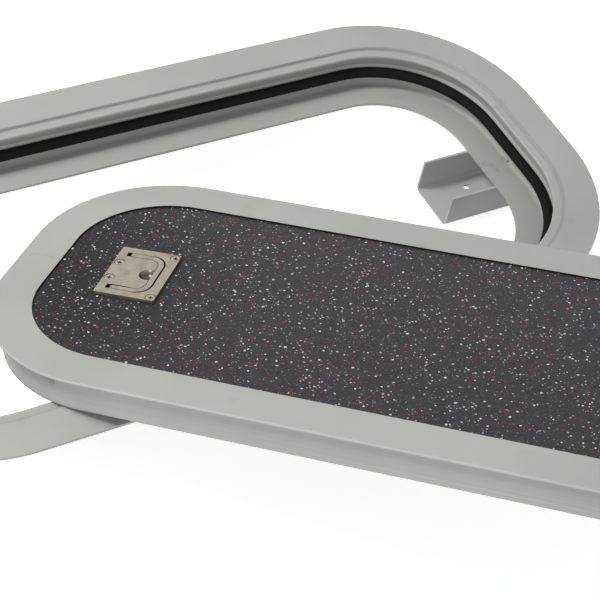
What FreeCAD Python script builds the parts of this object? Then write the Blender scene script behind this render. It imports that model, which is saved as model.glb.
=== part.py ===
import FreeCAD, Part
import math
import os
import Sketcher

# Engine access hatch: a frame that is let into a deck, and its lift-out lid laid across it.
# Millimetres. X runs along the frame, Y across it, Z up. The origin is the centre of the
# frame's opening, in the plane of the deck that the underside of its flange lies on.

SIZES = {
    # Frame: one formed ring, measured from its outer edge inwards and from its top downwards
    "frame_length": 821, "frame_width": 405, "frame_corner": 163, "frame_sheet": 3,
    "flange_width": 36, "step_depth": 3, "step_run": 0.9, "ledge_width": 9.4,
    "ledge_overhang": 6.3, "recess_depth": 45, "shelf_width": 34, "shelf_bend": 6,
    "ledge_round": 1.2,
    # Seal: a D-section cord with its flat back on the frame's wall, its ends butted
    "seal_diameter": 11, "seal_flat": 0.6, "seal_depth": 27, "seal_joint_gap": 0.5,
    "seal_joint_aside": 33,
    # Channel bracket under one end of the frame
    "bracket_width": 58.5, "bracket_aside": 1, "bracket_height": 40, "bracket_length": 88,
    "bracket_sheet": 2.5, "bracket_bend": 4, "bracket_from_end": 127.5, "bracket_hole": 6.6,
    "bracket_hole_back": 52.7, "bracket_hole_aside": 13,
    # Lid: a bent rim section, a plate under it, two ribs and a rubber mat
    "lid_clearance": 0.8, "lid_depth": 38.6, "rim_width": 38.9, "rim_edge": 3,
    "rim_thickness": 4, "rim_round": 1.4, "skirt_inset": 10, "skirt_sheet": 3,
    "skirt_return": 13, "skirt_bend": 1, "plate_thickness": 3, "plate_lap": 12,
    "mat_gap": 0.4, "mat_thickness": 2.5, "rib_width": 30, "rib_height": 18,
    "rib_sheet": 2, "rib_bend": 2, "rib_spacing": 300, "rib_end_gap": 1,
    # Where the lid lies: its heading about Z, its climb lengthways, its lean sideways
    "lid_centre_x": 75.8, "lid_centre_y": -245, "lid_heading_angle": -46.5,
    "lid_climb_angle": 12.8, "lid_lean_angle": -9.9, "lid_rest_gap": 0.02,
    # Flush lift handle: base casting, bail and the two pins that the bail turns on
    "handle_from_end": 115, "handle_aside": 2.8, "handle_skew_angle": 1.5,
    "handle_width": 57, "handle_length": 76, "handle_corner": 1.5, "handle_flange": 2.5, "bail_width": 5,
    "bail_thickness": 4.5, "bail_span": 58.8, "bail_reach": 33.8, "bail_corner": 14.5,
    "bail_gap": 0.6, "bail_nose_gap": 1, "bail_floor_gap": 0.6, "bail_relief": 2.8,
    "trough_wall": 1.8, "pivot_back": 15.5, "pivot_diameter": 3, "pivot_clearance": 0.05,
    "dimple_radius": 8.4, "dimple_depth": 6.4, "dimple_offset": 9.5, "bowl_wall": 1.5,
    "bowl_round": 0.8, "cutout_clearance": 1,
    # Fastenings of the handle: countersunk screws, washers and nuts
    "screw_diameter": 4, "screw_head": 8.4, "screw_length": 16, "screw_slot": 1,
    "screw_slot_length": 5, "screw_slot_depth": 1.2, "screw_clearance": 0.3,
    "screw_sink": 0.35,
    "screw_back": 23, "screw_back_span": 25.4, "screw_front": 23.8,
    "screw_front_span": 65.6, "washer_diameter": 9, "washer_thickness": 0.8,
    "nut_flats": 7, "nut_height": 3.2,
}

START, END, CENTRE = 1, 2, 3
ORIGIN = -1
SAME_PLACE = 0.01
MOST_LOWERINGS = 40

doc = FreeCAD.newDocument("EngineAccessHatch")
sheet = doc.addObject("Spreadsheet::Sheet", "Sizes")
for row, (alias, number) in enumerate(SIZES.items(), start=1):
    sheet.set(f"A{row}", alias.replace("_", " "))
    sheet.set(f"B{row}", str(number))
    sheet.setAlias(f"B{row}", alias)
doc.recompute()


class Size:
    """A number together with the spreadsheet expression that gives it."""

    def __init__(self, number, text=None):
        self.number = float(number)
        self.text = text or repr(float(number))

    def join(self, sign, other, number):
        return Size(number, f"({self.text} {sign} {other.text})")

    def __add__(self, other):
        other = as_size(other)
        return self.join("+", other, self.number + other.number)

    def __sub__(self, other):
        other = as_size(other)
        return self.join("-", other, self.number - other.number)

    def __mul__(self, other):
        other = as_size(other)
        return self.join("*", other, self.number * other.number)

    def __truediv__(self, other):
        other = as_size(other)
        return self.join("/", other, self.number / other.number)

    def __neg__(self):
        return Size(-self.number, f"(-{self.text})")


def as_size(value):
    return value if isinstance(value, Size) else Size(value)


def size(alias):
    """The named cell of the spreadsheet."""
    return Size(sheet.get(alias), f"Sizes.{alias}")


ZERO = Size(0)


# Sketches

def bind(sketch, kind, where, value, name):
    """Add a dimension to a sketch and tie it to the spreadsheet."""
    index = sketch.addConstraint(Sketcher.Constraint(kind, *where, value.number))
    sketch.renameConstraint(index, name)
    sketch.setExpression(f"Constraints.{name}", value.text)


def place_point(sketch, geometry, point, x, y, name):
    bind(sketch, "DistanceX", (ORIGIN, START, geometry, point), x, f"{name}_x")
    bind(sketch, "DistanceY", (ORIGIN, START, geometry, point), y, f"{name}_y")


def new_sketch(body, name, plane="XY_Plane", offset=None):
    """An empty sketch on one of the body's own origin planes, or at an offset from it."""
    sketch = body.newObject("Sketcher::SketchObject", name)
    support = [item for item in body.Origin.OriginFeatures if item.Role == plane][0]
    sketch.AttachmentSupport = (support, [""])
    sketch.MapMode = "FlatFace"
    if offset is not None:
        sketch.setExpression("AttachmentOffset.Base.z", offset.text)
    return sketch


def corner_points(corners, index):
    """Where the lines beside a corner leave it, and the centre of its arc if it has one."""
    here, before, after = (
        FreeCAD.Vector(corners[i][0].number, corners[i][1].number, 0)
        for i in (index, index - 1, (index + 1) % len(corners))
    )
    radius = corners[index][2]
    if radius is None:
        return here, here, None, False
    back = (before - here).normalize() * radius.number
    ahead = (after - here).normalize() * radius.number
    return here + back, here + ahead, here + back + ahead, back.cross(ahead).z > 0


def add_outline(sketch, corners):
    """A closed outline of straight lines, with an arc at each corner that has a radius.

    Each corner is (x, y, radius or None). Lines that meet an arc run along X or Y.
    """
    count = len(corners)
    turns = [corner_points(corners, index) for index in range(count)]
    for index in range(count):
        leave, arrive = turns[index][1], turns[(index + 1) % count][0]
        sketch.addGeometry(Part.LineSegment(leave, arrive), False)
    for index, (x, y, radius) in enumerate(corners):
        arrive, leave, centre, clockwise = turns[index]
        before = (index - 1) % count
        if radius is None:
            sketch.addConstraint(Sketcher.Constraint("Coincident", before, END, index, START))
            place_point(sketch, index, START, x, y, f"corner_{index}")
            continue
        first, last = (leave, arrive) if clockwise else (arrive, leave)
        angles = [math.atan2(point.y - centre.y, point.x - centre.x) for point in (first, last)]
        circle = Part.Circle(centre, FreeCAD.Vector(0, 0, 1), radius.number)
        arc = sketch.addGeometry(Part.ArcOfCircle(circle, *angles), False)
        arc_in, arc_out = (END, START) if clockwise else (START, END)
        sketch.addConstraint(Sketcher.Constraint("Tangent", before, END, arc, arc_in))
        sketch.addConstraint(Sketcher.Constraint("Tangent", index, START, arc, arc_out))
        bind(sketch, "Radius", (arc,), radius, f"radius_{index}")
    for index in range(count):
        x, y, radius = corners[index]
        next_x, next_y, next_radius = corners[(index + 1) % count]
        if radius is None and next_radius is None:
            continue
        level = abs(next_y.number - y.number) < abs(next_x.number - x.number)
        sketch.addConstraint(Sketcher.Constraint("Horizontal" if level else "Vertical", index))
        if radius is not None and next_radius is not None:
            kind, value = ("DistanceY", y) if level else ("DistanceX", x)
            bind(sketch, kind, (ORIGIN, START, index, START), value, f"side_{index}")


def add_circle(sketch, diameter, x, y, name):
    middle = FreeCAD.Vector(x.number, y.number, 0)
    circle = Part.Circle(middle, FreeCAD.Vector(0, 0, 1), diameter.number / 2)
    index = sketch.addGeometry(circle, False)
    place_point(sketch, index, CENTRE, x, y, name)
    bind(sketch, "Diameter", (index,), diameter, f"{name}_diameter")


def rectangle(width, depth, radius=None):
    """Corners of a rectangle about the sketch's origin."""
    right, top = width / 2, depth / 2
    return [
        (right, -top, radius), (right, top, radius),
        (-right, top, radius), (-right, -top, radius),
    ]


# Bodies and features

def new_body(label):
    body = doc.addObject("PartDesign::Body", label.title().replace("_", ""))
    body.Label = label
    return body


def pad(body, sketch, name, length, downwards=False):
    feature = body.newObject("PartDesign::Pad", name)
    feature.Profile = sketch
    feature.setExpression("Length", length.text)
    feature.Reversed = downwards
    body.Tip = feature
    return feature


def pocket(body, sketch, name, length=None, both_ways=False):
    """A pocket of the given depth, or through everything."""
    feature = body.newObject("PartDesign::Pocket", name)
    feature.Profile = sketch
    feature.Midplane = both_ways
    if length is None:
        feature.Type = "ThroughAll"
    else:
        feature.setExpression("Length", length.text)
    body.Tip = feature
    return feature


def dress(body, kind, name, picked, amount):
    """A fillet or chamfer on the edges of the latest feature that pass the test."""
    doc.recompute()
    base = body.Tip
    edges = [f"Edge{n}" for n, edge in enumerate(base.Shape.Edges, start=1) if picked(edge)]
    feature = body.newObject(f"PartDesign::{kind}", name)
    feature.Base = (base, edges)
    feature.setExpression("Radius" if kind == "Fillet" else "Size", amount.text)
    body.Tip = feature
    return feature


def near(one, other):
    return abs(one - other) < SAME_PLACE


def sweep_ring(label, length, width, radius, draw_section):
    """One section carried round a rounded rectangle, from half way along its right side."""
    body = new_body(label)
    path = new_sketch(body, "Path")
    right, top = length / 2, width / 2
    add_outline(path, [
        (right, ZERO, None), (right, top, radius), (-right, top, radius),
        (-right, -top, radius), (right, -top, radius),
    ])
    section = new_sketch(body, "Section", "XZ_Plane")
    draw_section(section)
    ring = body.newObject("PartDesign::AdditivePipe", "Ring")
    ring.Profile = section
    ring.Spine = path
    body.Tip = ring
    return body


def section_outline(length, points):
    """Drawing of a ring's section from (inset, height, radius) points."""
    def draw(sketch):
        add_outline(sketch, [(length / 2 - inset, height, radius) for inset, height, radius in points])
    return draw


# Sizes that several pieces share

frame_length, frame_width = size("frame_length"), size("frame_width")
frame_corner, frame_sheet = size("frame_corner"), size("frame_sheet")
step_foot = size("flange_width") + size("step_run")
ledge_edge = step_foot + size("ledge_width")
wall_inset = ledge_edge - size("ledge_overhang")
shelf_top = frame_sheet - size("recess_depth")
shelf_under = shelf_top - frame_sheet
seal_height = frame_sheet - size("seal_depth")

lid_inset = step_foot + size("lid_clearance")
lid_length = frame_length - lid_inset * 2
lid_width = frame_width - lid_inset * 2
lid_corner = frame_corner - lid_inset
plate_top = -size("rim_thickness")
plate_under = plate_top - size("plate_thickness")
mat_top = plate_top + size("mat_thickness")
skirt_inner = size("skirt_inset") + size("skirt_sheet")

pivot_x = -size("pivot_back")
pivot_height = -(size("bail_thickness") / 2)
groove_depth = size("bail_thickness") + size("bail_floor_gap")
trough_depth = groove_depth + size("trough_wall")
hole_diameter = size("screw_diameter") + size("screw_clearance") * 2
screw_places = [
    (-size("screw_back"), size("screw_back_span") / 2),
    (-size("screw_back"), -(size("screw_back_span") / 2)),
    (size("screw_front"), size("screw_front_span") / 2),
    (size("screw_front"), -(size("screw_front_span") / 2)),
]


def build_frame_ring():
    """Flange, joggled ledge, wall set back under the ledge, and the shelf at its foot."""
    ledge_top = frame_sheet - size("step_depth")
    ledge_under = ledge_top - frame_sheet
    wall_back = wall_inset - frame_sheet
    shelf_edge = wall_inset + size("shelf_width")
    points = [
        (ZERO, frame_sheet, None),
        (size("flange_width"), frame_sheet, None),
        (step_foot, ledge_top, None),
        (ledge_edge, ledge_top, size("ledge_round")),
        (ledge_edge, ledge_under, None),
        (wall_inset, ledge_under, None),
        (wall_inset, shelf_top, size("shelf_bend")),
        (shelf_edge, shelf_top, None),
        (shelf_edge, shelf_under, None),
        (wall_back, shelf_under, size("shelf_bend") + frame_sheet),
        (wall_back, ledge_under, None),
        (size("flange_width"), ledge_under, None),
        (size("flange_width"), ZERO, None),
        (ZERO, ZERO, None),
    ]
    draw = section_outline(frame_length, points)
    return sweep_ring("frame_ring", frame_length, frame_width, frame_corner, draw)


def build_frame_seal():
    radius = size("seal_diameter") / 2
    stand = radius - size("seal_flat")

    def draw(sketch):
        wall = (frame_length / 2 - wall_inset)
        middle = wall - stand
        depth = seal_height
        half = math.sqrt(radius.number ** 2 - stand.number ** 2)
        angle = math.atan2(half, stand.number)
        centre = FreeCAD.Vector(middle.number, depth.number, 0)
        circle = Part.Circle(centre, FreeCAD.Vector(0, 0, 1), radius.number)
        arc = sketch.addGeometry(Part.ArcOfCircle(circle, angle, 2 * math.pi - angle), False)
        top = FreeCAD.Vector(wall.number, depth.number + half, 0)
        foot = FreeCAD.Vector(wall.number, depth.number - half, 0)
        back = sketch.addGeometry(Part.LineSegment(foot, top), False)
        sketch.addConstraint(Sketcher.Constraint("Coincident", arc, START, back, END))
        sketch.addConstraint(Sketcher.Constraint("Coincident", arc, END, back, START))
        sketch.addConstraint(Sketcher.Constraint("Vertical", back))
        place_point(sketch, arc, CENTRE, middle, depth, "centre")
        bind(sketch, "Radius", (arc,), radius, "radius")
        bind(sketch, "DistanceX", (ORIGIN, START, back, START), wall, "wall")

    body = sweep_ring("frame_seal", frame_length, frame_width, frame_corner, draw)
    cut = new_sketch(body, "JointCut")
    outer = frame_length / 2 - wall_inset + size("seal_diameter")
    inner = frame_length / 2 - wall_inset - size("seal_diameter") * 2
    aside, half_gap = size("seal_joint_aside"), size("seal_joint_gap") / 2
    add_outline(cut, [
        (inner, aside - half_gap, None), (outer, aside - half_gap, None),
        (outer, aside + half_gap, None), (inner, aside + half_gap, None),
    ])
    pocket(body, cut, "Joint")
    return body


def build_frame_bracket():
    body = new_body("frame_bracket")
    half, thick = size("bracket_width") / 2, size("bracket_sheet")
    top = shelf_under
    foot = shelf_under - size("bracket_height")
    front = frame_length / 2 - size("bracket_from_end")
    bend = size("bracket_bend")
    far, near_side = size("bracket_aside") + half, size("bracket_aside") - half
    channel = new_sketch(body, "Channel", "YZ_Plane", front)
    add_outline(channel, [
        (far, top, None), (far - thick, top, None),
        (far - thick, foot + thick, bend), (near_side + thick, foot + thick, bend),
        (near_side + thick, top, None), (near_side, top, None),
        (near_side, foot, bend + thick), (far, foot, bend + thick),
    ])
    pad(body, channel, "Fold", size("bracket_length"))
    hole = new_sketch(body, "Hole", "XY_Plane", foot + thick)
    hole_x, hole_y = front + size("bracket_hole_back"), size("bracket_hole_aside")
    add_circle(hole, size("bracket_hole"), hole_x, hole_y, "hole")
    pocket(body, hole, "BoltHole", thick * 2)
    return body


def build_lid_rim():
    """Flange with a rounded edge, skirt and the return at the skirt's foot."""
    foot = -size("lid_depth")
    skirt, thick, bend = size("skirt_inset"), size("skirt_sheet"), size("skirt_bend")
    back = skirt + size("skirt_return")
    points = [
        (size("rim_width"), ZERO, None),
        (size("rim_width"), plate_top, None),
        (skirt_inner, plate_top, None),
        (skirt_inner, foot + thick, bend),
        (back, foot + thick, None),
        (back, foot, None),
        (skirt, foot, bend + thick),
        (skirt, -size("rim_edge"), None),
        (ZERO, -size("rim_edge"), size("rim_round")),
        (ZERO, ZERO, size("rim_round")),
    ]
    draw = section_outline(lid_length, points)
    return sweep_ring("lid_rim", lid_length, lid_width, lid_corner, draw)


def handle_centre():
    """Middle of the handle in the lid's own axes."""
    return size("handle_from_end") - lid_length / 2, size("handle_aside")


def turn_sketch_to_handle(sketch):
    x, y = handle_centre()
    sketch.setExpression("AttachmentOffset.Base.x", x.text)
    sketch.setExpression("AttachmentOffset.Base.y", y.text)
    sketch.setExpression("AttachmentOffset.Rotation.Angle", size("handle_skew_angle").text)


def u_outline(grow, nose):
    """The bail's U, its sides moved outwards by one amount and the outside of its bend by another."""
    half = size("bail_span") / 2
    bar = size("bail_width")
    end = pivot_x - size("bail_thickness") / 2
    bend = pivot_x + size("bail_reach")
    outer, inner = half + grow, half - bar - grow
    outer_radius = size("bail_corner") + grow
    inner_radius = size("bail_corner") - bar - grow
    return [
        (end, outer, None), (end, inner, None),
        (bend - bar - grow, inner, inner_radius), (bend - bar - grow, -inner, inner_radius),
        (end, -inner, None), (end, -outer, None),
        (bend + nose, -outer, outer_radius), (bend + nose, outer, outer_radius),
    ]


def groove_outline(wall):
    """The bail's U with its running gap, its end relief and a wall of the given thickness."""
    corners = u_outline(size("bail_gap") + wall, size("bail_nose_gap") + wall)
    relief = size("bail_relief") + wall
    return [
        (x - relief, y, radius) if radius is None else (x, y, radius)
        for x, y, radius in corners
    ]


def cut_handle_opening(body, top):
    """The hole under the handle, which leaves a tongue for the two back screws."""
    clear = size("trough_wall") + size("cutout_clearance")
    corners = groove_outline(clear)
    end, inner = corners[1][0], corners[1][1]
    tongue = -(size("dimple_radius") + size("bowl_wall")) + size("dimple_offset")
    tongue = tongue - size("bowl_wall") - size("cutout_clearance")
    opening = new_sketch(body, "HandleOpening", "XY_Plane", top)
    turn_sketch_to_handle(opening)
    add_outline(opening, [
        corners[0], (end, inner, None), (tongue, inner, None), (tongue, -inner, None),
        (end, -inner, None), corners[5], corners[6], corners[7],
    ])
    pocket(body, opening, "HandleCut")
    holes = new_sketch(body, "ScrewHoles", "XY_Plane", top)
    turn_sketch_to_handle(holes)
    for number, (x, y) in enumerate(screw_places, start=1):
        add_circle(holes, hole_diameter, x, y, f"hole_{number}")
    pocket(body, holes, "ScrewCut")


def build_lid_sheet(label, inset, top, thickness):
    body = new_body(label)
    outline = new_sketch(body, "Outline", "XY_Plane", top)
    add_outline(outline, rectangle(lid_length - inset * 2, lid_width - inset * 2, lid_corner - inset))
    pad(body, outline, "Sheet", thickness, downwards=True)
    cut_handle_opening(body, top)
    return body


def build_lid_plate():
    inset = size("rim_width") - size("plate_lap")
    return build_lid_sheet("lid_plate", inset, plate_top, size("plate_thickness"))


def build_lid_mat():
    inset = size("rim_width") + size("mat_gap")
    return build_lid_sheet("lid_mat", inset, mat_top, size("mat_thickness"))


def build_lid_rib(label, side):
    """A folded channel across the lid, open upwards against the plate."""
    body = new_body(label)
    half, thick = size("rib_width") / 2, size("rib_sheet")
    middle = size("rib_spacing") / 2 * side
    top, foot = plate_under, plate_under - size("rib_height")
    bend = size("rib_bend")
    length = lid_width - (skirt_inner + size("rib_end_gap")) * 2
    section = new_sketch(body, "Section", "XZ_Plane", -(length / 2))
    add_outline(section, [
        (middle + half, top, None), (middle + half - thick, top, None),
        (middle + half - thick, foot + thick, bend), (middle - half + thick, foot + thick, bend),
        (middle - half + thick, top, None), (middle - half, top, None),
        (middle - half, foot, bend + thick), (middle + half, foot, bend + thick),
    ])
    pad(body, section, "Channel", length)
    return body


def build_handle_base():
    """Plate with the trough of the bail, the finger dimple and four countersunk holes."""
    body = new_body("handle_base")
    plate = new_sketch(body, "PlateOutline")
    add_outline(plate, rectangle(size("handle_width"), size("handle_length"), size("handle_corner")))
    pad(body, plate, "Plate", size("handle_flange"), downwards=True)
    trough = new_sketch(body, "TroughOutline")
    add_outline(trough, groove_outline(size("trough_wall")))
    pad(body, trough, "Trough", trough_depth, downwards=True)
    bowl = new_sketch(body, "BowlOutline")
    bowl_diameter = (size("dimple_radius") + size("bowl_wall")) * 2
    bowl_depth = size("dimple_depth") + size("bowl_wall")
    add_circle(bowl, bowl_diameter, size("dimple_offset"), ZERO, "bowl")
    pad(body, bowl, "Bowl", bowl_depth, downwards=True)
    dress(body, "Fillet", "BowlRound", lambda edge: lowest_circle(edge, bowl_depth), size("bowl_round"))
    holes = new_sketch(body, "ScrewHoles")
    for number, (x, y) in enumerate(screw_places, start=1):
        add_circle(holes, hole_diameter, x, y, f"hole_{number}")
    pocket(body, holes, "ScrewCut", size("handle_flange") * 2)
    sink = (size("screw_head") - hole_diameter) / 2 + size("screw_sink")
    dress(body, "Chamfer", "Countersinks", top_of_screw_hole, sink)
    groove = new_sketch(body, "GrooveOutline")
    add_outline(groove, groove_outline(ZERO))
    pocket(body, groove, "Groove", groove_depth)
    cut_dimple(body)
    bore_pivots(body)
    return body


def lowest_circle(edge, depth):
    return isinstance(edge.Curve, Part.Circle) and near(edge.BoundBox.ZMax, -depth.number)


def top_of_screw_hole(edge):
    round_hole = isinstance(edge.Curve, Part.Circle) and near(edge.Curve.Radius, hole_diameter.number / 2)
    return round_hole and near(edge.BoundBox.ZMin, 0)


def cut_dimple(body):
    rim, depth = size("dimple_radius"), size("dimple_depth")
    radius = (rim * rim + depth * depth) / (depth * 2)
    ball = body.newObject("PartDesign::SubtractiveSphere", "Dimple")
    support = [item for item in body.Origin.OriginFeatures if item.Role == "XY_Plane"][0]
    ball.AttachmentSupport = (support, [""])
    ball.MapMode = "FlatFace"
    ball.setExpression("Radius", radius.text)
    ball.setExpression("AttachmentOffset.Base.x", size("dimple_offset").text)
    ball.setExpression("AttachmentOffset.Base.z", (radius - depth).text)
    body.Tip = ball


def bore_pivots(body):
    """Holes for the two pins, from the trough's outer wall to its inner wall."""
    outer = size("bail_span") / 2 + size("bail_gap") + size("trough_wall")
    bore = new_sketch(body, "PivotBore", "XZ_Plane", outer)
    add_circle(bore, size("pivot_diameter"), pivot_x, pivot_height, "pivot")
    cut = pocket(body, bore, "PivotCut", pin_length())
    mirrored = body.newObject("PartDesign::Mirrored", "PivotCutBothSides")
    mirrored.Originals = [cut]
    plane = [item for item in body.Origin.OriginFeatures if item.Role == "XZ_Plane"][0]
    mirrored.MirrorPlane = (plane, [""])
    body.Tip = mirrored


def pin_length():
    return size("bail_width") + (size("bail_gap") + size("trough_wall")) * 2


def build_handle_bail():
    body = new_body("handle_bail")
    outline = new_sketch(body, "Outline")
    add_outline(outline, u_outline(ZERO, ZERO))
    pad(body, outline, "Bar", size("bail_thickness"), downwards=True)
    end = pivot_x - size("bail_thickness") / 2
    rounding = size("bail_thickness") / 2 - SAME_PLACE
    dress(body, "Fillet", "RoundEnds", lambda edge: across_end(edge, end), rounding)
    bore = new_sketch(body, "PivotBore", "XZ_Plane")
    diameter = size("pivot_diameter") + size("pivot_clearance") * 2
    add_circle(bore, diameter, pivot_x, pivot_height, "pivot")
    pocket(body, bore, "PivotCut", size("bail_span") * 2, both_ways=True)
    return body


def across_end(edge, end):
    box = edge.BoundBox
    across = near(box.YLength, size("bail_width").number)
    return across and near(box.XMin, end.number) and near(box.XMax, end.number)


def build_pivot_pin(label, side):
    pin = doc.addObject("Part::Cylinder", label.title().replace("_", ""))
    pin.Label = label
    pin.setExpression("Radius", (size("pivot_diameter") / 2).text)
    pin.setExpression("Height", pin_length().text)
    middle = (size("bail_span") - size("bail_width")) / 2 * side
    start = middle + pin_length() / 2
    local = FreeCAD.Placement(
        FreeCAD.Vector(pivot_x.number, start.number, pivot_height.number),
        FreeCAD.Rotation(FreeCAD.Vector(1, 0, 0), 90),
    )
    return pin, local


def build_screw(label):
    """Countersunk screw with a cross recess, its head's top at the origin."""
    body = new_body(label)
    profile = new_sketch(body, "Profile", "XZ_Plane")
    head, shank = size("screw_head") / 2, size("screw_diameter") / 2
    add_outline(profile, [
        (ZERO, ZERO, None), (head, ZERO, None), (shank, shank - head, None),
        (shank, -size("screw_length"), None), (ZERO, -size("screw_length"), None),
    ])
    turned = body.newObject("PartDesign::Revolution", "Turned")
    turned.Profile = profile
    turned.ReferenceAxis = (profile, ["V_Axis"])
    turned.Angle = 360
    body.Tip = turned
    cross = new_sketch(body, "Cross")
    arm, half = size("screw_slot_length") / 2, size("screw_slot") / 2
    add_outline(cross, [
        (arm, -half, None), (arm, half, None), (half, half, None), (half, arm, None),
        (-half, arm, None), (-half, half, None), (-arm, half, None), (-arm, -half, None),
        (-half, -half, None), (-half, -arm, None), (half, -arm, None), (half, -half, None),
    ])
    pocket(body, cross, "Recess", size("screw_slot_depth"))
    return body


def build_washer(label):
    body = new_body(label)
    outline = new_sketch(body, "Outline")
    add_circle(outline, size("washer_diameter"), ZERO, ZERO, "outside")
    add_circle(outline, hole_diameter, ZERO, ZERO, "bore")
    pad(body, outline, "Disc", size("washer_thickness"), downwards=True)
    return body


def build_nut(label):
    body = new_body(label)
    outline = new_sketch(body, "Outline")
    flat = size("nut_flats") / 2
    point = size("nut_flats") / math.sqrt(3)
    add_outline(outline, [
        (point, ZERO, None), (point / 2, flat, None), (-(point / 2), flat, None),
        (-point, ZERO, None), (-(point / 2), -flat, None), (point / 2, -flat, None),
    ])
    pad(body, outline, "Hexagon", size("nut_height"), downwards=True)
    bore = new_sketch(body, "Bore")
    add_circle(bore, size("screw_diameter"), ZERO, ZERO, "thread")
    pocket(body, bore, "Thread")
    return body


# Placing the lid and everything on it

def lid_placement(height):
    turn = FreeCAD.Rotation(
        size("lid_heading_angle").number, -size("lid_climb_angle").number, size("lid_lean_angle").number
    )
    centre = FreeCAD.Vector(size("lid_centre_x").number, size("lid_centre_y").number, height)
    return FreeCAD.Placement(centre, turn)


def rest_height(rim, supports):
    """Lower the lid by its clear distance from the frame until it lies on it."""
    height = lid_length.number
    gap = size("lid_rest_gap").number
    under = Part.makeCompound([support.Shape for support in supports])
    for attempt in range(MOST_LOWERINGS):
        rim.Placement = lid_placement(height)
        clear = rim.Shape.distToShape(under)[0]
        if near(clear, gap):
            break
        height -= clear - gap
    return height


def build_handle_parts():
    """Every piece of the handle with its place in the handle's own axes."""
    flat = FreeCAD.Placement()
    pieces = [(build_handle_base(), flat), (build_handle_bail(), flat)]
    for number, side in enumerate((1, -1), start=1):
        pieces.append(build_pivot_pin(f"handle_pivot_pin_{number}", side))
    under_plate = plate_under - (mat_top + size("handle_flange"))
    under_washer = under_plate - size("washer_thickness")
    for number, (x, y) in enumerate(screw_places, start=1):
        for build, label, depth in (
            (build_screw, "handle_screw", -size("screw_sink")),
            (build_washer, "handle_washer", under_plate),
            (build_nut, "handle_nut", under_washer),
        ):
            place = FreeCAD.Placement(
                FreeCAD.Vector(x.number, y.number, depth.number), FreeCAD.Rotation()
            )
            pieces.append((build(f"{label}_{number}"), place))
    return pieces


frame = [build_frame_ring(), build_frame_seal(), build_frame_bracket()]
rim = build_lid_rim()
lid = [rim, build_lid_plate(), build_lid_mat()]
lid += [build_lid_rib("lid_rib_1", -1), build_lid_rib("lid_rib_2", 1)]
handle = build_handle_parts()
doc.recompute()

lid_place = lid_placement(rest_height(rim, frame[:2]))
handle_x, handle_y = handle_centre()
handle_place = lid_place.multiply(FreeCAD.Placement(
    FreeCAD.Vector(handle_x.number, handle_y.number, (mat_top + size("handle_flange")).number),
    FreeCAD.Rotation(FreeCAD.Vector(0, 0, 1), size("handle_skew_angle").number),
))
for piece in lid:
    piece.Placement = lid_place
for piece, local in handle:
    piece.Placement = handle_place.multiply(local)
doc.recompute()

# Check and export

for item in doc.Objects:
    if "Invalid" in item.State or "Error" in item.State:
        raise RuntimeError(f"{item.Name} did not compute: {item.State}")
os.makedirs("parts", exist_ok=True)
for piece in frame + lid + [piece for piece, local in handle]:
    shape = piece.Shape
    if shape.isNull() or not shape.isValid() or not shape.Solids:
        raise RuntimeError(f"{piece.Label} has no valid solid")
    shape.exportStep(f"parts/{piece.Label}.step")
    print(piece.Label, "solids", len(shape.Solids), "volume", round(shape.Volume), shape.BoundBox)
pivot = handle_place.multVec(FreeCAD.Vector(pivot_x.number, 0, pivot_height.number))
swing = handle_place.Rotation.multVec(FreeCAD.Vector(0, -1, 0))
print("lid centre", [round(v, 3) for v in lid_place.Base])
print("bail pivot", [round(v, 3) for v in pivot], "axis", [round(v, 5) for v in swing])
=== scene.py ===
import math
import bpy
from mathutils import Euler, Matrix, Vector


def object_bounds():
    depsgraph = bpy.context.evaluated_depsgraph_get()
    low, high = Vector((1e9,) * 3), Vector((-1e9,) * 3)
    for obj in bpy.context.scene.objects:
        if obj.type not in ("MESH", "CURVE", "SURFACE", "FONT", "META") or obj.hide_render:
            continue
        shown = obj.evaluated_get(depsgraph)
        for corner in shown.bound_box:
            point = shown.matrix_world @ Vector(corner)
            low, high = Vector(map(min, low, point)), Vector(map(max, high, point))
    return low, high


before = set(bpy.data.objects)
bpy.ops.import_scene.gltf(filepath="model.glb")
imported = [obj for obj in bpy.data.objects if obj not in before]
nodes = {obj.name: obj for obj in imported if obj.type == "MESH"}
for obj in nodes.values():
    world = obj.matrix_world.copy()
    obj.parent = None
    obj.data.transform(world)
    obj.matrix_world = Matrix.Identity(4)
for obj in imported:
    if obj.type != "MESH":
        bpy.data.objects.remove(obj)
cad_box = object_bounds()

# Camera, from the photograph's perspective. It is rolled because the real frame leans.
CAMERA_PLACE = (-0.6662, -1.0118, 1.2088)
CAMERA_RIGHT = (0.8674, -0.4702, 0.1626)
CAMERA_UP = (0.2566, 0.7028, 0.6635)
CAMERA_LENS = 108
CAMERA_FAR = 100

# Where the lid lies and where the handle sits on it, as in the part's source
LID_CENTRE = (0.0758, -0.245, 0.07344)
LID_TURN = (math.radians(-9.9), math.radians(-12.8), math.radians(-46.5))
HANDLE_CENTRE = (-0.2578, 0.0028, 0.001)
HANDLE_SKEW = math.radians(1.5)
LID_FRAME = Matrix.Translation(LID_CENTRE) @ Euler(LID_TURN).to_matrix().to_4x4()
HANDLE_FRAME = LID_FRAME @ Matrix.Translation(HANDLE_CENTRE) @ Matrix.Rotation(HANDLE_SKEW, 4, "Z")

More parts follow.
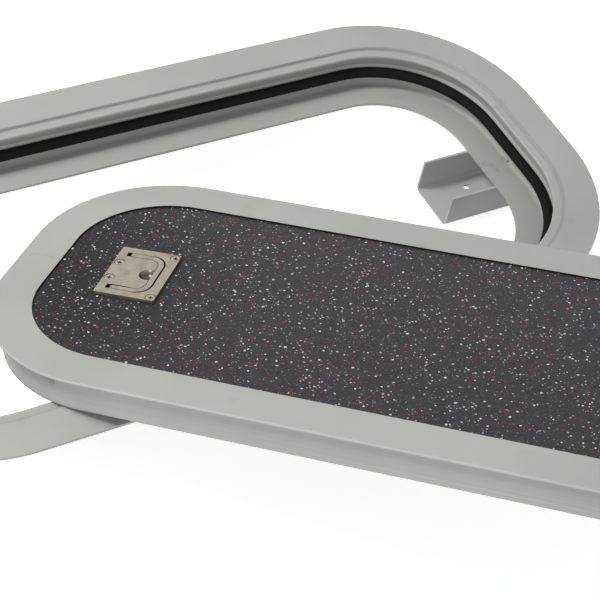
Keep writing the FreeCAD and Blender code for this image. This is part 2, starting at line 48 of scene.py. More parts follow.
# Colours, linear
WHITE = (1, 1, 1, 1)
PAINT = (0.487, 0.491, 0.470, 1)
# A lighter copy of the paint for the bracket: painted light
LIGHTENED_BRACKET_PAINT = (0.545, 0.555, 0.55, 1)
# A darker copy of the paint for the lid's plate and ribs: painted shade
PAINT_SHADE = (0.40, 0.41, 0.40, 1)
# A painted highlight: the pale line over the frame's seal
PAINTED_HIGHLIGHT = (0.80, 0.82, 0.82, 1)
# Dirt in the paint's smudges, and painted shade on the lid's skirt
PAINT_DIRT_AND_SHADE = (0.30, 0.28, 0.25, 1)
# Scuffs, and painted shade in the frame's bands
PAINT_SCUFF_AND_SHADE = (0.20, 0.195, 0.18, 1)
PAINT_BURN = (0.12, 0.10, 0.08, 1)
# The seal's black rubber, and painted shade on the rim's inner face and round the handle's plate
BLACK_RUBBER_AND_SHADE = (0.0045, 0.0045, 0.005, 1)
MAT_BASE = (0.0350, 0.0320, 0.0370, 1)
FLECK_PALE = (0.74, 0.73, 0.72, 1)
FLECK_GREY = (0.24, 0.24, 0.24, 1)
FLECK_RED = (0.25, 0.022, 0.03, 1)
HANDLE_METAL = (0.46, 0.405, 0.322, 1)
HANDLE_DULL = (0.36, 0.31, 0.235, 1)
# Painted shade on the handle's metal: in its grooves and recesses, round and in its screws, and as a
# dark reflection in its dimple
HANDLE_SHADE = (0.05, 0.042, 0.03, 1)
# Painted shade that widens the gap beside the bail
GAP_SHADE_BLACK = (0.012, 0.010, 0.008, 1)
SCREW_METAL = (0.52, 0.47, 0.38, 1)
FLOOR_COLOUR = (0.80, 0.80, 0.80, 1)

# Outlines of the frame, the lid, the handle's plate and the bail's recess, for the lines that
# follow their edges: half length, half width, corner
FRAME_OUTLINE = (0.4105, 0.2025, 0.163)
LID_OUTLINE = (0.3728, 0.1648, 0.1253)
HANDLE_OUTLINE = (0.0285, 0.0380, 0.0015)
RECESS_OUTLINE = (0.0400, 0.0300, 0.0151)
RECESS_MIDDLE = (-0.0207, 0.0, 0.0)

# Noise: scale and detail. Most of its values lie between the low one and the high one.
NOISE_LOW, NOISE_MIDDLE, NOISE_HIGH = 0.3, 0.5, 0.7
PAINT_CLOUD = (9.0, 3.0)
PAINT_SMUDGE = (34.0, 5.0)
PAINT_GRAIN = (420.0, 2.0)
SEAL_PORES = (900.0, 2.0)
MAT_GRAIN = (700.0, 3.0)
CHIP_WARP = (260.0, 1.0)
METAL_CLOUD = (120.0, 6.0)
METAL_GRAIN = (180.0, 3.0)
MARK_EDGE = (300.0, 3.0)
SEAM_WEAR = (160.0, 2.0)
DRAWING_LINES = (1.0, 2.0)

# Bumps: strength and distance
PAINT_BUMP = (0.06, 0.0004)
SEAL_BUMP = (0.3, 0.0003)
MAT_BUMP = (0.15, 0.0003)
METAL_BUMP = (0.08, 0.0002)

# Paint: its tones and roughness from low noise to high, and where a smudge begins and is full
PAINT_TONE = (0.965, 1.03)
PAINT_ROUGHNESS = (0.50, 0.62)
SMUDGE_EDGE = (0.62, 0.80)

# Painted shade and a painted highlight, in bands on the frame: measured by inset or by height, low,
# high, edge width, strength, colour.
# They are painted shade at the step's foot, under the ledge and under the seal, and a painted highlight
# over the seal.
FRAME_SHADE_AND_HIGHLIGHT_BANDS = (
    ("inset", 0.0358, 0.0372, 0.0016, 0.26, PAINT_SCUFF_AND_SHADE),
    ("height", -0.0150, -0.0045, 0.0030, 0.35, PAINT_SCUFF_AND_SHADE),
    ("height", -0.0345, -0.0280, 0.0025, 0.38, PAINT_SCUFF_AND_SHADE),
    ("height", -0.0200, -0.0168, 0.0015, 0.80, PAINTED_HIGHLIGHT),
)

# Lid: drawing lines round the skirt, painted shade at its top and foot (start, full, strength), the
# inset where the painted shade on the rim's inner face begins and is full, and the dressed seam
DRAWING_STRETCH = (3.0, 3.0, 700.0)
DRAWING_TONE = (0.94, 1.04)
SKIRT_TOP = -0.0032
SKIRT_PAINTED_SHADES = ((-0.0240, -0.0050, 0.42), (-0.0355, -0.0366, 0.45))
RIM_INNER_FACE = (0.0386, 0.0388)
SEAM_STRENGTH = 0.30
SEAM_EDGE = (1.0, 0.2)
SEAM_FADE = (0.3, 0.6, 0.3, 1.0)

# Mat: tones of the rubber, how far the chips' edges are bent, the part of its size that every
# chip has at least, and the chips' tones
MAT_TONE = (0.55, 1.50)
CHIP_BEND = (0.0022, 0.0022, 0.0022)
CHIP_SMALLEST = 0.35
CHIP_TONE = (0.45, 1.1)
# Chips, each layer over the one before: colour, cells in a metre, share of cells, size, shift
CHIP_LAYERS = (
    (FLECK_GREY, 430.0, 0.38, 0.38, (0.0, 0.11, 0.0)),
    (FLECK_PALE, 315.0, 0.42, 0.38, (0.37, 0.11, 0.23)),
    (FLECK_RED, 290.0, 0.24, 0.40, (0.74, 0.11, 0.46)),
)
# Painted shade on the mat: darker towards its low end, by the handle, and a painted shadow in a line
# round the handle's plate
SHADE_PLACE = (-0.33, -0.03, 0.0)
SHADE_REACH = 0.24
SHADE_SHARE = 0.36
PLATE_SHADOW = (-0.0030, -0.0012)
PLATE_SHADOW_FADE = (-0.01, 0.02, 0.3, 1.0)

# Handle metal: the grain's stretch along the lid, and how the clouds dull and roughen it
GRAIN_STRETCH = (1.0, 0.08, 1.0)
GRAIN_TONE = (0.86, 1.06)
DULL_EDGE = (0.35, 0.75)
ROUGHNESS_SPREAD = 0.12
# Painted shade that widens the gap beside the bail: bands (low, high, edge width) and where along the
# handle each fades
BEND_GAP_SHADE = (-0.0006, 0.0004, 0.0003)
BEND_FADE = (0.002, 0.012)
LEG_GAP_SHADE = (-0.0242, -0.0232, 0.0003)
LEG_FADE = (0.006, -0.006)
LEG_END = -0.0178

# Places on the handle: its screws, and its dimple, which has a painted dark reflection of its own in
# place of the painted shade in the hollows and is smoother than the plate
SCREW_PLACES = ((-0.023, 0.0127), (-0.023, -0.0127), (0.0238, 0.0328), (0.0238, -0.0328))
DIMPLE_CENTRE = HANDLE_FRAME @ Vector((0.0095, 0.0, 0.0))
DIMPLE_RADIUS = 0.0087
DIMPLE_EDGE_SOFT = 0.02
DIMPLE_POLISH_SOFT = 0.1
DIMPLE_POLISH = 0.75

# Marks: colour, strength, centre, radius, soft share, ragged share. On the handle they are painted shade
# round its screws and a painted dark reflection in its dimple. A screw's own is a painted shadow that
# lies a little aside from its middle, down in its recess.
FRAME_MARKS = (
    (PAINT_BURN, 0.85, (0.3678, -0.0017, -0.0410), 0.0022, 0.6, 0.8),
    (PAINT_SCUFF_AND_SHADE, 0.35, (0.3663, 0.0040, -0.0417), 0.0050, 0.9, 1.2),
    (PAINT_SCUFF_AND_SHADE, 0.32, (0.3476, -0.0006, -0.0420), 0.0060, 1.0, 1.9),
    (PAINT_SCUFF_AND_SHADE, 0.28, (0.3506, -0.0080, -0.0420), 0.0045, 1.0, 1.9),
    (PAINT_SCUFF_AND_SHADE, 0.28, (0.3415, 0.0045, -0.0420), 0.0060, 1.0, 1.9),
    (PAINT_BURN, 0.85, (0.3705, 0.0030, -0.0132), 0.0013, 0.5, 0.6),
    (PAINT_SCUFF_AND_SHADE, 0.50, (0.3705, 0.0120, -0.0120), 0.0022, 0.8, 1.2),
)
LID_MARKS = (
    (PAINT_SCUFF_AND_SHADE, 0.60, (-0.2205, -0.1534, 0.0258), 0.0050, 0.4, 0.3),
    (PAINT_SCUFF_AND_SHADE, 0.35, (-0.2240, -0.1470, 0.0252), 0.0070, 0.9, 0.5),
    (PAINT_BURN, 0.70, LID_FRAME @ Vector((0.0254, -0.1258, 0.0)), 0.0014, 0.5, 0.8),
    (PAINT_BURN, 0.70, LID_FRAME @ Vector((0.1186, -0.1256, 0.0)), 0.0014, 0.5, 0.8),
    (PAINT_BURN, 0.70, LID_FRAME @ Vector((0.1654, -0.1258, 0.0)), 0.0012, 0.5, 0.8),
)
SEAL_MARKS = ((PAINT_SCUFF_AND_SHADE, 0.8, (0.3602, 0.0330, -0.0258), 0.0016, 0.6, 0.4),)
HANDLE_SHADE_MARKS = [
    (HANDLE_SHADE, 0.85, HANDLE_FRAME @ Vector((x, y, 0.0)), 0.0053, 0.12, 0.35)
    for x, y in SCREW_PLACES
]
HANDLE_SHADE_MARKS += [(HANDLE_SHADE, 0.88, DIMPLE_CENTRE, 0.0086, 0.15, 0.0)]
SHADOW_ASIDE, SHADOW_BELOW = 0.001, 0.0004
SCREW_SHADOW_MARKS = [
    (HANDLE_SHADE, 0.75, HANDLE_FRAME @ Vector((x + SHADOW_ASIDE, y - SHADOW_ASIDE, -SHADOW_BELOW)),
     0.0022, 0.6, 2.2)
    for x, y in SCREW_PLACES
]
# Depths of the painted shade in a screw's recess: where it starts, where it is full, and the deepest it
# reaches
SCREW_RECESS = {"Start": -0.0005, "Full": -0.0008, "Deepest": -0.0040}
FASTENINGS = ("handle_screw", "handle_washer", "handle_nut", "handle_pivot")

# Floor and lights
FLOOR_HALF = 14.0
FLOOR_CORNERS = ((-1, -1), (1, -1), (1, 1), (-1, 1))
FLOOR_GLOW = 0.75
LIT_PLACE = (0.0, -0.1, 0.0)
WORLD_LIGHT = 0.36
WORLD_COLOUR = (0.955, 0.985, 1.0, 1)
KEY_SIDE = Vector((-0.50, 0.20, 0.84))
KEY_DISTANCE = 2.6
KEY_SIZE = 0.65
KEY_POWER = 40
KEY_COLOUR = (1.0, 0.99, 0.97)
FILL_SIDE = Vector((-0.80, -0.55, 0.22))
FILL_DISTANCE = 4.5
FILL_SIZE = 2.2
FILL_POWER = 54
FILL_COLOUR = (0.96, 0.985, 1.0)

# Kinds of group sockets, and the sockets by which a Mix node mixes colours, by their number
FLOAT, COLOUR, VECTOR = "NodeSocketFloat", "NodeSocketColor", "NodeSocketVector"
MIX_SHARE, MIX_UNDER, MIX_OVER, MIX_RESULT = 0, 6, 7, 2

# Node helpers

def add_node(tree, kind, inputs=None, **settings):
    """A node with its settings, its inputs being values or the sockets that feed them."""
    node = tree.nodes.new(kind)
    for name, value in settings.items():
        setattr(node, name, value)
    for name, value in (inputs or {}).items():
        if isinstance(value, bpy.types.NodeSocket):
            tree.links.new(value, node.inputs[name])
        else:
            node.inputs[name].default_value = value
    return node


def maths(tree, operation, first, second=0.0):
    """A number worked out from one or two others."""
    return add_node(tree, "ShaderNodeMath", {0: first, 1: second}, operation=operation).outputs[0]


def vector_maths(tree, operation, first, second):
    """The outputs of an operation on two vectors."""
    return add_node(tree, "ShaderNodeVectorMath", {0: first, 1: second}, operation=operation).outputs


def mix(tree, share, under, over, blend="MIX"):
    """One colour laid over another by a share."""
    inputs = {MIX_SHARE: share, MIX_UNDER: under, MIX_OVER: over}
    node = add_node(tree, "ShaderNodeMix", inputs, data_type="RGBA", blend_type=blend)
    return node.outputs[MIX_RESULT]


def tint(tree, colour, tone):
    """A colour made darker or lighter by a factor."""
    return mix(tree, 1.0, colour, tone, "MULTIPLY")


def ramp(tree, value, start, end, low=0.0, high=1.0):
    """Smooth step of a value from low to high between start and end."""
    node = add_node(
        tree, "ShaderNodeMapRange",
        {"Value": value, "From Min": start, "From Max": end, "To Min": low, "To Max": high},
        interpolation_type="SMOOTHSTEP",
    )
    return node.outputs["Result"]


def band(tree, value, low, high, edge):
    """Full between two values of a length, fading over the edge width outside them."""
    rise = ramp(tree, value, low - edge, low)
    fall = ramp(tree, value, high, high + edge, 1.0, 0.0)
    return maths(tree, "MULTIPLY", rise, fall)


def noise(tree, place, scale, detail):
    inputs = {"Vector": place, "Scale": scale, "Detail": detail}
    return add_node(tree, "ShaderNodeTexNoise", inputs).outputs["Fac"]


def vary(tree, value, low, high):
    """A noise value turned into one that runs smoothly from low to high."""
    return ramp(tree, value, NOISE_LOW, NOISE_HIGH, low, high)


def parts_of(tree, vector):
    """The X, Y and Z of a vector."""
    return add_node(tree, "ShaderNodeSeparateXYZ", {"Vector": vector}).outputs


def object_place(tree):
    """The place in the part's own frame, in metres."""
    return add_node(tree, "ShaderNodeTexCoord").outputs["Object"]


def own_place(tree, centre, turn, scale=(1.0, 1.0, 1.0)):
    """The place measured from a piece's own centre and along its own axes."""
    inputs = {"Vector": object_place(tree), "Location": centre, "Rotation": turn, "Scale": scale}
    return add_node(tree, "ShaderNodeMapping", inputs, vector_type="TEXTURE").outputs["Vector"]


def place_on_lid(tree):
    return own_place(tree, LID_CENTRE, LID_TURN)


def place_on_handle(tree):
    return own_place(tree, HANDLE_FRAME.translation, HANDLE_FRAME.to_euler())


def new_group(name, inputs, outputs):
    """An empty node group with its sockets, and the ends to wire to."""
    group = bpy.data.node_groups.new(name, "ShaderNodeTree")
    for title, kind, default in inputs:
        socket = group.interface.new_socket(title, in_out="INPUT", socket_type=kind)
        if default is not None:
            socket.default_value = default
    for title, kind in outputs:
        group.interface.new_socket(title, in_out="OUTPUT", socket_type=kind)
    start = group.nodes.new("NodeGroupInput").outputs
    end = group.nodes.new("NodeGroupOutput").inputs
    return group, start, end


def use_group(tree, group, inputs):
    """The outputs of a group placed in a tree."""
    return add_node(tree, "ShaderNodeGroup", inputs, node_tree=group).outputs


# Effects, each a node group

def make_paint_group():
    """Satin paint with soft unevenness and thin scuffs."""
    group, given, result = new_group(
        "Satin paint",
        [("Colour", COLOUR, PAINT), ("Dirt", COLOUR, PAINT_DIRT_AND_SHADE), ("Dirt Amount", FLOAT, 0.15)],
        [("Colour", COLOUR), ("Roughness", FLOAT), ("Height", FLOAT)],
    )
    place = object_place(group)
    smudge = noise(group, place, *PAINT_SMUDGE)
    tone = vary(group, noise(group, place, *PAINT_CLOUD), *PAINT_TONE)
    amount = maths(group, "MULTIPLY", ramp(group, smudge, *SMUDGE_EDGE), given["Dirt Amount"])
    colour = mix(group, amount, tint(group, given["Colour"], tone), given["Dirt"])
    group.links.new(colour, result["Colour"])
    group.links.new(vary(group, smudge, *PAINT_ROUGHNESS), result["Roughness"])
    group.links.new(noise(group, place, *PAINT_GRAIN), result["Height"])
    return group


def make_fleck_group():
    """Chips of colour scattered through rubber: one in some cells, each with its own size."""
    group, given, result = new_group(
        "Rubber flecks",
        [("Vector", VECTOR, None), ("Cells", FLOAT, 200.0), ("Share", FLOAT, 0.3), ("Size", FLOAT, 0.3)],
        [("Mask", FLOAT), ("Shade", FLOAT)],
    )
    cells = add_node(
        group, "ShaderNodeTexVoronoi",
        {"Vector": given["Vector"], "Scale": given["Cells"], "Randomness": 1.0},
        distance="MANHATTAN",
    ).outputs
    chance = add_node(group, "ShaderNodeSeparateColor", {"Color": cells["Color"]}).outputs
    present = maths(group, "LESS_THAN", chance["Red"], given["Share"])
    share = maths(group, "ADD", chance["Green"], CHIP_SMALLEST)
    reach = maths(group, "MULTIPLY", given["Size"], share)
    inside = maths(group, "LESS_THAN", cells["Distance"], reach)
    group.links.new(maths(group, "MULTIPLY", present, inside), result["Mask"])
    group.links.new(chance["Blue"], result["Shade"])
    return group


def make_spot_group():
    """A round mark about a point: full inside, gone outside, ragged if wanted."""
    group, given, result = new_group(
        "Round mark",
        [("Centre", VECTOR, None), ("Radius", FLOAT, 0.01), ("Soft", FLOAT, 0.3),
         ("Ragged", FLOAT, 0.3)],
        [("Mask", FLOAT)],
    )
    place = object_place(group)
    away = vector_maths(group, "DISTANCE", place, given["Centre"])["Value"]
    swing = maths(group, "SUBTRACT", noise(group, place, *MARK_EDGE), NOISE_MIDDLE)
    wobble = maths(group, "MULTIPLY", swing, given["Ragged"])
    share = maths(group, "DIVIDE", away, given["Radius"])
    within = maths(group, "SUBTRACT", 1.0, maths(group, "ADD", share, wobble))
    depth = maths(group, "DIVIDE", within, given["Soft"])
    group.links.new(ramp(group, depth, 0.0, 1.0), result["Mask"])
    return group


def make_seam_group():
    """A faint dressed weld across the lid's rim, bent as in the photograph."""
    group, given, result = new_group(
        "Dressed seam",
        [("Crest Along", FLOAT, -0.352), ("Crest Aside", FLOAT, 0.0056), ("Bend", FLOAT, 18.0),
         ("Inner End", FLOAT, -0.33), ("Width", FLOAT, 0.0007)],
        [("Mask", FLOAT)],
    )
    part = parts_of(group, place_on_lid(group))
    along = maths(group, "SUBTRACT", part["X"], given["Crest Along"])
    drop = maths(group, "MULTIPLY", maths(group, "MULTIPLY", along, along), given["Bend"])
    seam = maths(group, "SUBTRACT", given["Crest Aside"], drop)
    away = maths(group, "ABSOLUTE", maths(group, "SUBTRACT", part["Y"], seam))
    line = ramp(group, maths(group, "DIVIDE", away, given["Width"]), *SEAM_EDGE)
    at_end = maths(group, "LESS_THAN", part["X"], given["Inner End"])
    wear = ramp(group, noise(group, object_place(group), *SEAM_WEAR), *SEAM_FADE)
    faded = maths(group, "MULTIPLY", line, wear)
    group.links.new(maths(group, "MULTIPLY", faded, at_end), result["Mask"])
    return group


def make_inset_group():
    """How far a point lies inside the edge of a rounded rectangle about the origin."""
    group, given, result = new_group(
        "Inset from edge",
        [("Vector", VECTOR, None), ("Half Length", FLOAT, 0.4), ("Half Width", FLOAT, 0.2),
         ("Corner", FLOAT, 0.1)],
        [("Inset", FLOAT)],
    )
    part = parts_of(group, given["Vector"])
    beyond = []
    for axis, half in (("X", "Half Length"), ("Y", "Half Width")):
        core = maths(group, "SUBTRACT", given[half], given["Corner"])
        away = maths(group, "SUBTRACT", maths(group, "ABSOLUTE", part[axis]), core)
        beyond.append(maths(group, "MAXIMUM", away, 0.0))
    squares = [maths(group, "MULTIPLY", away, away) for away in beyond]
    reach = maths(group, "SQRT", maths(group, "ADD", *squares))
    group.links.new(maths(group, "SUBTRACT", given["Corner"], reach), result["Inset"])
    return group


def make_groove_group():
    """Where the handle lies deeper than its top face, away from its outer edges."""
    group, given, result = new_group(
        "Handle depth",
        [("Start", FLOAT, -0.0002), ("Full", FLOAT, -0.0009), ("Deepest", FLOAT, -0.0060),
         ("Half Length", FLOAT, 0.0278), ("Half Width", FLOAT, 0.0373)],
        [("Mask", FLOAT)],
    )
    part = parts_of(group, place_on_handle(group))
    deep = add_node(
        group, "ShaderNodeMapRange",
        {"Value": part["Z"], "From Min": given["Start"], "From Max": given["Full"]},
    )
    in_length = maths(group, "LESS_THAN", maths(group, "ABSOLUTE", part["X"]), given["Half Length"])
    in_width = maths(group, "LESS_THAN", maths(group, "ABSOLUTE", part["Y"]), given["Half Width"])
    above = maths(group, "GREATER_THAN", part["Z"], given["Deepest"])
    inside = maths(group, "MULTIPLY", maths(group, "MULTIPLY", in_length, in_width), above)
    group.links.new(maths(group, "MULTIPLY", deep.outputs["Result"], inside), result["Mask"])
    return group


paint_group = make_paint_group()
fleck_group = make_fleck_group()
spot_group = make_spot_group()
seam_group = make_seam_group()
inset_group = make_inset_group()
groove_group = make_groove_group()


def spot_mask(tree, centre, radius, soft, ragged):
    """Full on a round mark about a place."""
    return use_group(tree, spot_group, {
        "Centre": tuple(centre), "Radius": radius, "Soft": soft, "Ragged": ragged,
    })["Mask"]


def add_marks(tree, colour, marks):
    """Lay round marks over a colour, each (colour, strength, centre, radius, soft, ragged)."""
    for mark_colour, strength, *shape in marks:
        share = maths(tree, "MULTIPLY", spot_mask(tree, *shape), strength)
        colour = mix(tree, share, colour, mark_colour)
    return colour


def inset_from(tree, place, outline):
    """How far a place lies inside the edge of an outline."""
    half_length, half_width, corner = outline
    return use_group(tree, inset_group, {
        "Vector": place, "Half Length": half_length, "Half Width": half_width, "Corner": corner,
    })["Inset"]


# Lines, painted shade and a painted highlight on the frame, the lid and the handle's plate

def add_frame_shade_and_highlight(tree, colour):
    """Painted shade in bands at the step's foot, under the ledge and under the seal, and a painted
    highlight over it.
    """
    place = object_place(tree)
    lengths = {"inset": inset_from(tree, place, FRAME_OUTLINE), "height": parts_of(tree, place)["Z"]}
    # Each band lays painted shade or the painted highlight over the colour
    for length, low, high, edge, strength, band_colour in FRAME_SHADE_AND_HIGHLIGHT_BANDS:
        share = maths(tree, "MULTIPLY", band(tree, lengths[length], low, high, edge), strength)
        colour = mix(tree, share, colour, band_colour)
    return colour


def add_lid_lines(tree, colour):
    """Drawing lines, painted shade on the rim's inner face and in bands on the skirt, and the seam."""
    on_lid = place_on_lid(tree)
    stretched = vector_maths(tree, "MULTIPLY", on_lid, DRAWING_STRETCH)["Vector"]
    colour = tint(tree, colour, vary(tree, noise(tree, stretched, *DRAWING_LINES), *DRAWING_TONE))
    # The rim's inner face is painted black: painted shade where the mat meets the rim
    painted_inner_shade = ramp(tree, inset_from(tree, on_lid, LID_OUTLINE), *RIM_INNER_FACE)
    colour = mix(tree, painted_inner_shade, colour, BLACK_RUBBER_AND_SHADE)
    height = parts_of(tree, on_lid)["Z"]
    below = maths(tree, "LESS_THAN", height, SKIRT_TOP)
    # Painted shade at the top of the skirt, under the rim, and a painted dark line at its foot
    for start, full, strength in SKIRT_PAINTED_SHADES:
        shade = maths(tree, "MULTIPLY", ramp(tree, height, start, full), strength)
        colour = mix(tree, maths(tree, "MULTIPLY", shade, below), colour, PAINT_DIRT_AND_SHADE)
    seam = maths(tree, "MULTIPLY", use_group(tree, seam_group, {})["Mask"], SEAM_STRENGTH)
    return mix(tree, seam, colour, PAINT_SCUFF_AND_SHADE)


def add_gap_shade(tree, colour):
    """Painted shade that widens the bail's gap where the bail lies off centre: round the bend and inside
    one leg.
    """
    on_handle = place_on_handle(tree)
    from_middle = vector_maths(tree, "SUBTRACT", on_handle, RECESS_MIDDLE)["Vector"]
    inset = inset_from(tree, from_middle, RECESS_OUTLINE)
    part = parts_of(tree, on_handle)
    bend_fade = ramp(tree, part["X"], *BEND_FADE)
    bend = maths(tree, "MULTIPLY", band(tree, inset, *BEND_GAP_SHADE), bend_fade)
    leg_fade = ramp(tree, part["X"], *LEG_FADE)
    leg = maths(tree, "MULTIPLY", band(tree, part["Y"], *LEG_GAP_SHADE), leg_fade)
    leg = maths(tree, "MULTIPLY", leg, maths(tree, "GREATER_THAN", part["X"], LEG_END))
    return mix(tree, maths(tree, "MAXIMUM", bend, leg), colour, GAP_SHADE_BLACK)


# Materials

def new_material(name, **sockets):
    """A material with one Principled shader, its sockets set by name."""
    material = bpy.data.materials.new(name)
    material.use_nodes = True
    tree = material.node_tree
    shader = tree.nodes["Principled BSDF"]
    for socket, value in sockets.items():
        shader.inputs[socket.replace("_", " ")].default_value = value
    return material, tree, shader


def add_bump(tree, shader, height, strength, distance):
    inputs = {"Height": height, "Strength": strength, "Distance": distance}
    bump = add_node(tree, "ShaderNodeBump", inputs)
    tree.links.new(bump.outputs["Normal"], shader.inputs["Normal"])


def make_paint(name, colour, dirt_amount, marks=(), add_lines=None):
    material, tree, shader = new_material(name, Specular_IOR_Level=0.3)
    paint = use_group(tree, paint_group, {"Colour": colour, "Dirt Amount": dirt_amount})
    painted = add_marks(tree, paint["Colour"], marks)
    if add_lines:
        painted = add_lines(tree, painted)
    tree.links.new(painted, shader.inputs["Base Color"])
    tree.links.new(paint["Roughness"], shader.inputs["Roughness"])
    add_bump(tree, shader, paint["Height"], *PAINT_BUMP)
    return material


def make_seal_rubber(marks):
    material, tree, shader = new_material("Seal rubber", Roughness=0.7, Specular_IOR_Level=0.15)
    tree.links.new(add_marks(tree, BLACK_RUBBER_AND_SHADE, marks), shader.inputs["Base Color"])
    add_bump(tree, shader, noise(tree, object_place(tree), *SEAL_PORES), *SEAL_BUMP)
    return material


def add_chips(tree, colour):
    """Grey, pale and red chips over a colour, with edges bent by noise."""
    place = object_place(tree)
    scale, detail = CHIP_WARP
    warp = add_node(tree, "ShaderNodeTexNoise", {"Vector": place, "Scale": scale, "Detail": detail})
    bend = vector_maths(tree, "MULTIPLY", warp.outputs["Color"], CHIP_BEND)["Vector"]
    bent = vector_maths(tree, "ADD", place, bend)["Vector"]
    for chip, cells, share, size, shift in CHIP_LAYERS:
        shifted = vector_maths(tree, "ADD", bent, shift)["Vector"]
        fleck = use_group(tree, fleck_group, {
            "Vector": shifted, "Cells": cells, "Share": share, "Size": size,
        })
        chip_tone = ramp(tree, fleck["Shade"], 0.0, 1.0, *CHIP_TONE)
        colour = mix(tree, fleck["Mask"], colour, tint(tree, chip, chip_tone))
    return colour


def make_mat_rubber():
    """Dark rubber with pale, grey and red chips in it."""
    material, tree, shader = new_material("Flecked mat rubber", Roughness=0.38, Specular_IOR_Level=0.2)
    grain = noise(tree, object_place(tree), *MAT_GRAIN)
    colour = tint(tree, MAT_BASE, vary(tree, grain, *MAT_TONE))
    # Painted shade: the mat is made darker towards its low end
    dark = spot_mask(tree, LID_FRAME @ Vector(SHADE_PLACE), SHADE_REACH, soft=1.0, ragged=0.0)
    colour = tint(tree, colour, ramp(tree, dark, 0.0, 1.0, 1.0, SHADE_SHARE))
    colour = add_chips(tree, colour)
    # Painted shadow: a black line round the handle's plate, stronger on one side
    on_handle = place_on_handle(tree)
    line = ramp(tree, inset_from(tree, on_handle, HANDLE_OUTLINE), *PLATE_SHADOW)
    fade = ramp(tree, parts_of(tree, on_handle)["X"], *PLATE_SHADOW_FADE)
    colour = mix(tree, maths(tree, "MULTIPLY", line, fade), colour, BLACK_RUBBER_AND_SHADE)
    tree.links.new(colour, shader.inputs["Base Color"])
    add_bump(tree, shader, grain, *MAT_BUMP)
    return material


def make_metal(name, colour, roughness, groove_shade, marks=(), groove=None, add_lines=None):
    """Cast metal, unevenly dulled, with a fine polishing grain along the lid and painted shade where it
    lies deeper.
    """
    material, tree, shader = new_material(name, Metallic=1.0)
    cloud = noise(tree, object_place(tree), *METAL_CLOUD)
    grain = noise(tree, own_place(tree, LID_CENTRE, LID_TURN, GRAIN_STRETCH), *METAL_GRAIN)
    metal = mix(tree, ramp(tree, cloud, *DULL_EDGE), colour, HANDLE_DULL)
    metal = tint(tree, metal, vary(tree, grain, *GRAIN_TONE))
    # Painted shade where the metal lies deeper than its top face, left out in the dimple
    deep = use_group(tree, groove_group, groove)["Mask"]
    dimple = spot_mask(tree, DIMPLE_CENTRE, DIMPLE_RADIUS, soft=DIMPLE_EDGE_SOFT, ragged=0.0)
    deep = maths(tree, "MULTIPLY", deep, maths(tree, "SUBTRACT", 1.0, dimple))
    metal = mix(tree, maths(tree, "MULTIPLY", deep, groove_shade), metal, HANDLE_SHADE)
    metal = add_marks(tree, metal, marks)
    if add_lines:
        metal = add_lines(tree, metal)
    tree.links.new(metal, shader.inputs["Base Color"])
    polished = spot_mask(tree, DIMPLE_CENTRE, DIMPLE_RADIUS, soft=DIMPLE_POLISH_SOFT, ragged=0.0)
    rough = vary(tree, cloud, roughness, roughness + ROUGHNESS_SPREAD)
    rough = maths(tree, "MULTIPLY", rough, ramp(tree, polished, 0.0, 1.0, 1.0, DIMPLE_POLISH))
    tree.links.new(rough, shader.inputs["Roughness"])
    add_bump(tree, shader, grain, *METAL_BUMP)
    return material


def give(material, *names):
    """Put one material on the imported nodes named."""
    for name in names:
        node = nodes[name]
        node.data.materials.clear()
        node.data.materials.append(material)


frame_paint = make_paint(
    "Frame paint", PAINT, dirt_amount=0.25, marks=FRAME_MARKS, add_lines=add_frame_shade_and_highlight
)
lid_paint = make_paint(
    "Lid paint", PAINT, dirt_amount=0.2, marks=LID_MARKS, add_lines=add_lid_lines
)
give(frame_paint, "frame_ring")
# The bracket takes a lighter copy of the paint: painted light
give(make_paint("Bracket paint", LIGHTENED_BRACKET_PAINT, dirt_amount=0.25), "frame_bracket")
give(lid_paint, "lid_rim")
# The lid's plate and ribs take a darker copy of the paint: painted shade
shaded_inner_paint = make_paint("Lid inner paint", PAINT_SHADE, dirt_amount=0.3)
give(shaded_inner_paint, "lid_plate", "lid_rib_1", "lid_rib_2")
give(make_seal_rubber(SEAL_MARKS), "frame_seal")
give(make_mat_rubber(), "lid_mat")
plate_metal = make_metal(
    "Handle metal", HANDLE_METAL, roughness=0.30, groove_shade=0.92, marks=HANDLE_SHADE_MARKS,
    add_lines=add_gap_shade,
)
# The screws' cross recesses get painted shade
screw_metal = make_metal(
    "Screw metal", SCREW_METAL, roughness=0.28, groove_shade=0.95, marks=SCREW_SHADOW_MARKS,
    groove=SCREW_RECESS,
)
give(plate_metal, "handle_base")
give(make_metal("Bail metal", HANDLE_METAL, roughness=0.30, groove_shade=0.7), "handle_bail")
give(screw_metal, *[name for name in nodes if name.startswith(FASTENINGS)])

# Stage: floor, lights and camera

def seen_directly(tree):
    """One for rays that see the background or its reflection, none for those that light the part."""
    rays = add_node(tree, "ShaderNodeLightPath").outputs
    seen = maths(tree, "MAXIMUM", rays["Is Camera Ray"], rays["Is Glossy Ray"])
    return maths(tree, "MAXIMUM", seen, rays["Is Transmission Ray"])


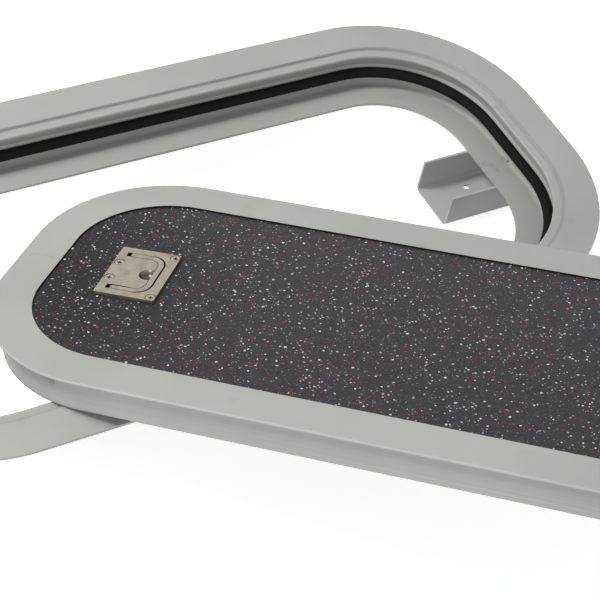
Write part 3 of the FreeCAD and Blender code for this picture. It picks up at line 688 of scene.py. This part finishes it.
def add_floor(height):
    mesh = bpy.data.meshes.new("floor")
    corners = [(x * FLOOR_HALF, y * FLOOR_HALF, height) for x, y in FLOOR_CORNERS]
    mesh.from_pydata(corners, [], [(0, 1, 2, 3)])
    floor = bpy.data.objects.new("floor", mesh)
    bpy.context.scene.collection.objects.link(floor)
    material, tree, shader = new_material(
        "Floor", Base_Color=FLOOR_COLOUR, Roughness=0.9, Emission_Color=WHITE
    )
    glow = maths(tree, "MULTIPLY", seen_directly(tree), FLOOR_GLOW)
    tree.links.new(glow, shader.inputs["Emission Strength"])
    mesh.materials.append(material)


def add_area_light(name, place, target, size, power, colour):
    light = bpy.data.lights.new(name, "AREA")
    light.shape = "SQUARE"
    light.size = size
    light.energy = power
    light.color = colour
    lamp = bpy.data.objects.new(name, light)
    lamp.location = place
    lamp.rotation_euler = (Vector(target) - Vector(place)).to_track_quat("-Z", "Y").to_euler()
    bpy.context.scene.collection.objects.link(lamp)


def light_world():
    world = bpy.data.worlds.new("Studio")
    world.use_nodes = True
    tree = world.node_tree
    background = tree.nodes["Background"]
    background.inputs["Color"].default_value = WORLD_COLOUR
    strength = ramp(tree, seen_directly(tree), 0.0, 1.0, WORLD_LIGHT, 1.0)
    tree.links.new(strength, background.inputs["Strength"])
    bpy.context.scene.world = world


def add_camera():
    right, up = Vector(CAMERA_RIGHT).normalized(), Vector(CAMERA_UP).normalized()
    back = right.cross(up)
    turn = Matrix((right, back.cross(right), back)).transposed()
    data = bpy.data.cameras.new("Camera")
    data.lens = CAMERA_LENS
    data.clip_end = CAMERA_FAR
    camera = bpy.data.objects.new("Camera", data)
    camera.matrix_world = Matrix.Translation(CAMERA_PLACE) @ turn.to_4x4()
    bpy.context.scene.collection.objects.link(camera)
    bpy.context.scene.camera = camera


add_floor(cad_box[0][2])
add_area_light("Key light", KEY_SIDE * KEY_DISTANCE, LIT_PLACE, KEY_SIZE, KEY_POWER, KEY_COLOUR)
add_area_light("Fill light", FILL_SIDE * FILL_DISTANCE, LIT_PLACE, FILL_SIZE, FILL_POWER, FILL_COLOUR)
light_world()
add_camera()
bpy.context.scene.view_settings.view_transform = "Standard"
